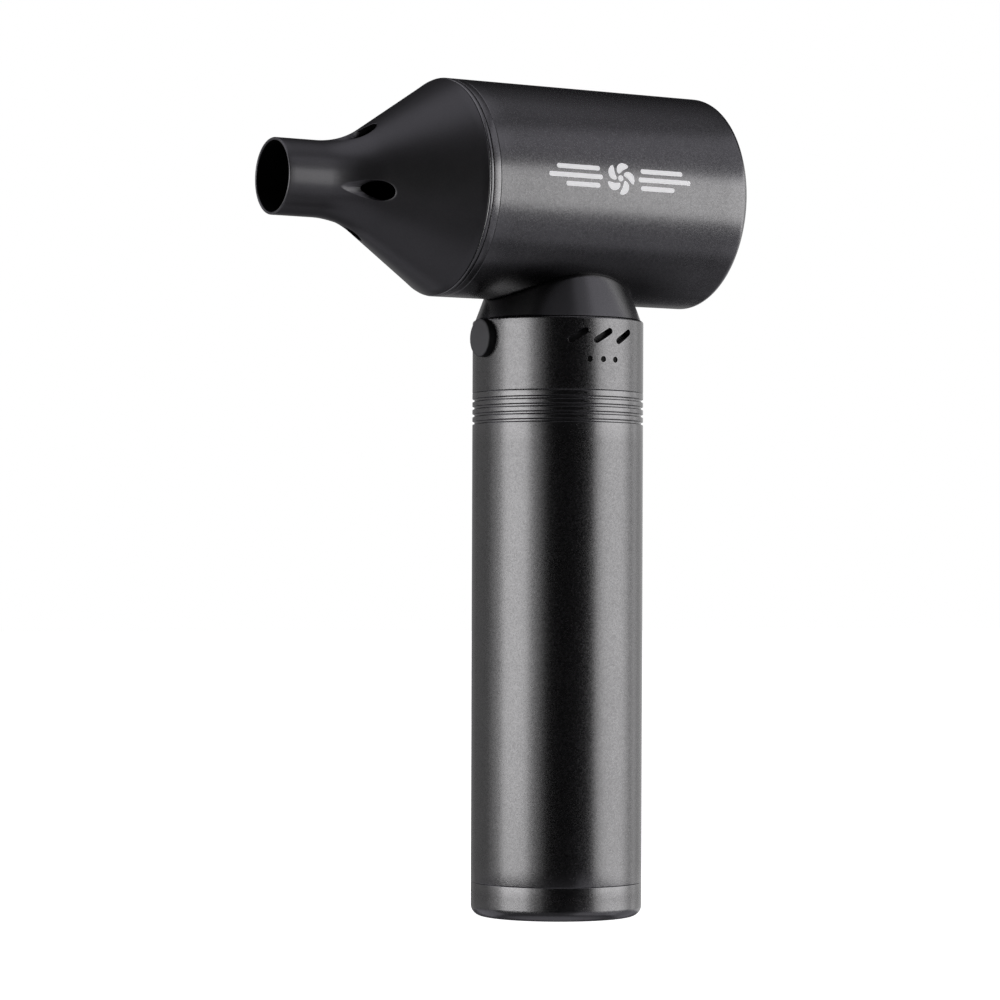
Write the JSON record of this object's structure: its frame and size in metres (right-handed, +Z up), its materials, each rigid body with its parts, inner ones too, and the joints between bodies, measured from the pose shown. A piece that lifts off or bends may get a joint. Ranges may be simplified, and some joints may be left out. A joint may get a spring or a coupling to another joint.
{
  "type": "car dryer blower",
  "caption": "Cordless hand-held jet blower for drying cars: upright round handle with a power button, crosswise fan head with rear intake grille, and a tapered nozzle with air slots.",
  "frame": {"origin": "centre of the handle's flat foot, where the blower stands upright", "axes": "+Z up the handle's axis, +X the way the air leaves the nozzle, +Y the side with the vent slots"},
  "size_m": [0.1349, 0.06, 0.2323],
  "materials": {
    "anodised_casing": "fine bead-blasted gunmetal anodising",
    "nozzle_finish": "smooth satin black anodising",
    "neck_finish": "turned aluminium, satin dark grey anodising",
    "button_finish": "matte dark grey moulded plastic",
    "grille_finish": "black powder coat",
    "duct_plastic": "black glass-filled nylon",
    "fan_metal": "machined aluminium alloy",
    "steel": "ground bearing steel",
    "magnet": "nickel-plated magnet",
    "lamination": "varnished silicon-steel laminations",
    "copper": "enamelled copper wire",
    "rubber_black": "matte black rubber",
    "board_green": "solder-mask circuit board",
    "chip_black": "moulded electronic package",
    "cell_wrap": "shrink-wrapped steel can",
    "holder_plastic": "moulded cell holder",
    "nickel": "nickel strip",
    "insulator": "fibre insulating sheet",
    "lead_insulation": "silicone wire insulation",
    "smoked_lens": "smoked light guide",
    "led_white": "surface-mount lamp"
  },
  "bodies": {
    "housing": {"head_shell": "anodised_casing", "front_collar": "anodised_casing", "control_housing": "anodised_casing", "battery_tube": "anodised_casing", "base_cap": "anodised_casing", "neck": "neck_finish", "rear_grille": "grille_finish", "intake_bellmouth": "duct_plastic", "fan_duct": "duct_plastic", "motor_hub": "duct_plastic", "stator_vanes": "duct_plastic", "tail_cone": "duct_plastic", "vent_screen": "duct_plastic", "motor_end_bells": "fan_metal", "bearing_outer_rings": "steel", "neck_screws": "steel", "head_screws": "steel", "charge_socket": "steel", "motor_core": "lamination", "motor_windings": "copper", "base_pad": "rubber_black", "base_seal": "rubber_black", "duct_dampers": "rubber_black", "control_board": "board_green", "protection_board": "board_green", "switch_board": "board_green", "indicator_board": "board_green", "power_transistors": "chip_black", "microcontroller": "chip_black", "bulk_capacitor": "chip_black", "protection_chips": "chip_black", "tact_switch": "chip_black", "battery_cells": "cell_wrap", "cell_holders": "holder_plastic", "nickel_strips": "nickel", "insulator_discs": "insulator", "battery_leads": "lead_insulation", "motor_leads": "lead_insulation", "indicator_lenses": "smoked_lens", "indicator_leds": "led_white"},
    "rotor": {"motor_shaft": "steel", "impeller": "fan_metal", "impeller_nut": "steel", "motor_magnet": "magnet", "bearing_inner_rings": "steel"},
    "ball_rows": {"bearing_balls": "steel", "bearing_cages": "steel"},
    "power_button": {"power_button": "button_finish", "switch_plunger": "chip_black"},
    "seal_ring": {"nozzle_seal": "rubber_black"},
    "nozzle": {"nozzle": "nozzle_finish"}
  },
  "joints": [
    {"name": "rotor_spin", "type": "hinge", "parent": "housing", "child": "rotor", "pos_m": [0, 0, 0.2023], "axis": [1, 0, 0], "continuous": true},
    {"name": "ball_orbit", "type": "hinge", "parent": "housing", "child": "ball_rows", "pos_m": [0, 0, 0.2023], "axis": [1, 0, 0], "continuous": true},
    {"name": "button_press", "type": "slide", "parent": "housing", "child": "power_button", "axis": [-1, 0, 0], "range_m": [0, 0.0008], "stiffness_N_per_m": 1500, "springref_m": -0.0002},
    {"name": "nozzle_twist", "type": "hinge", "parent": "housing", "child": "seal_ring", "pos_m": [0, 0, 0.2023], "axis": [1, 0, 0], "continuous": true},
    {"name": "nozzle_pull", "type": "slide", "parent": "seal_ring", "child": "nozzle", "axis": [1, 0, 0], "range_m": [0, 0.03]}
  ],
  "couplings": [
    {"joint": "ball_orbit", "follows": "rotor_spin", "ratio": 0.3636}
  ]
}
